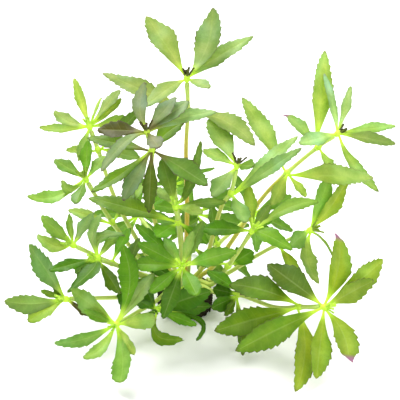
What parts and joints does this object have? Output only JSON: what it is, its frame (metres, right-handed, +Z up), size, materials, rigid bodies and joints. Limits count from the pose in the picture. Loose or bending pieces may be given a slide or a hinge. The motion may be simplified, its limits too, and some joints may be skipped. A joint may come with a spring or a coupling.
{
  "type": "limnophila plant",
  "caption": "Bushy clump of leafy limnophila shoots with toothed leaves in whorls on slender stems, standing on a small root ball.",
  "frame": {"origin": "centre of the root ball's flat underside, on the surface that the plant stands on", "axes": "+Z up along the plant; +X to the right and -Y towards the viewer in the front view, where the plant is widest"},
  "size_m": [0.2074, 0.1675, 0.1585],
  "materials": {
    "leaf": "soft satin green leaf, yellow-green beneath, thin purplish margins",
    "stem": "smooth stem, lime green at the nodes and ochre lower down",
    "roots": "dark matted fine roots"
  },
  "bodies": {
    "root": {"back_left_lower_leaves": "leaf", "back_left_stem": "stem", "back_left_tip_leaves": "leaf", "back_middle_lower_leaves": "leaf", "back_middle_stem": "stem", "back_middle_tip_leaves": "leaf", "back_right_lower_leaves": "leaf", "back_right_stem": "stem", "back_right_tip_leaves": "leaf", "back_tall_stem": "stem", "back_tall_tip_leaves": "leaf", "centre_lower_leaves": "leaf", "centre_stem": "stem", "centre_tip_leaves": "leaf", "creeping_stem": "stem", "creeping_tip_leaves": "leaf", "far_right_base_leaves": "leaf", "far_right_lower_leaves": "leaf", "far_right_stem": "stem", "far_right_tip_leaves": "leaf", "front_left_stem": "stem", "front_left_tip_leaves": "leaf", "inner_left_lower_leaves": "leaf", "inner_left_stem": "stem", "inner_left_tip_leaves": "leaf", "left_lower_leaves": "leaf", "left_middle_lower_leaves": "leaf", "left_middle_stem": "stem", "left_middle_tip_leaves": "leaf", "left_stem": "stem", "left_tip_leaves": "leaf", "low_left_stem": "stem", "low_left_tip_leaves": "leaf", "low_right_base_leaves": "leaf", "low_right_lower_leaves": "leaf", "low_right_stem": "stem", "low_right_tip_leaves": "leaf", "middle_lower_leaves": "leaf", "middle_right_lower_leaves": "leaf", "middle_right_stem": "stem", "middle_right_tip_leaves": "leaf", "middle_stem": "stem", "middle_tip_leaves": "leaf", "purple_lower_leaves": "leaf", "purple_stem": "stem", "purple_tip_leaves": "leaf", "right_centre_lower_leaves": "leaf", "right_centre_stem": "stem", "right_centre_tip_leaves": "leaf", "right_middle_lower_leaves": "leaf", "right_middle_stem": "stem", "right_middle_tip_leaves": "leaf", "root_ball": "roots", "tall_lower_leaves": "leaf", "tall_stem": "stem", "tall_tip_leaves": "leaf", "upper_left_lower_leaves": "leaf", "upper_left_stem": "stem", "upper_left_tip_leaves": "leaf"}
  },
  "joints": []
}
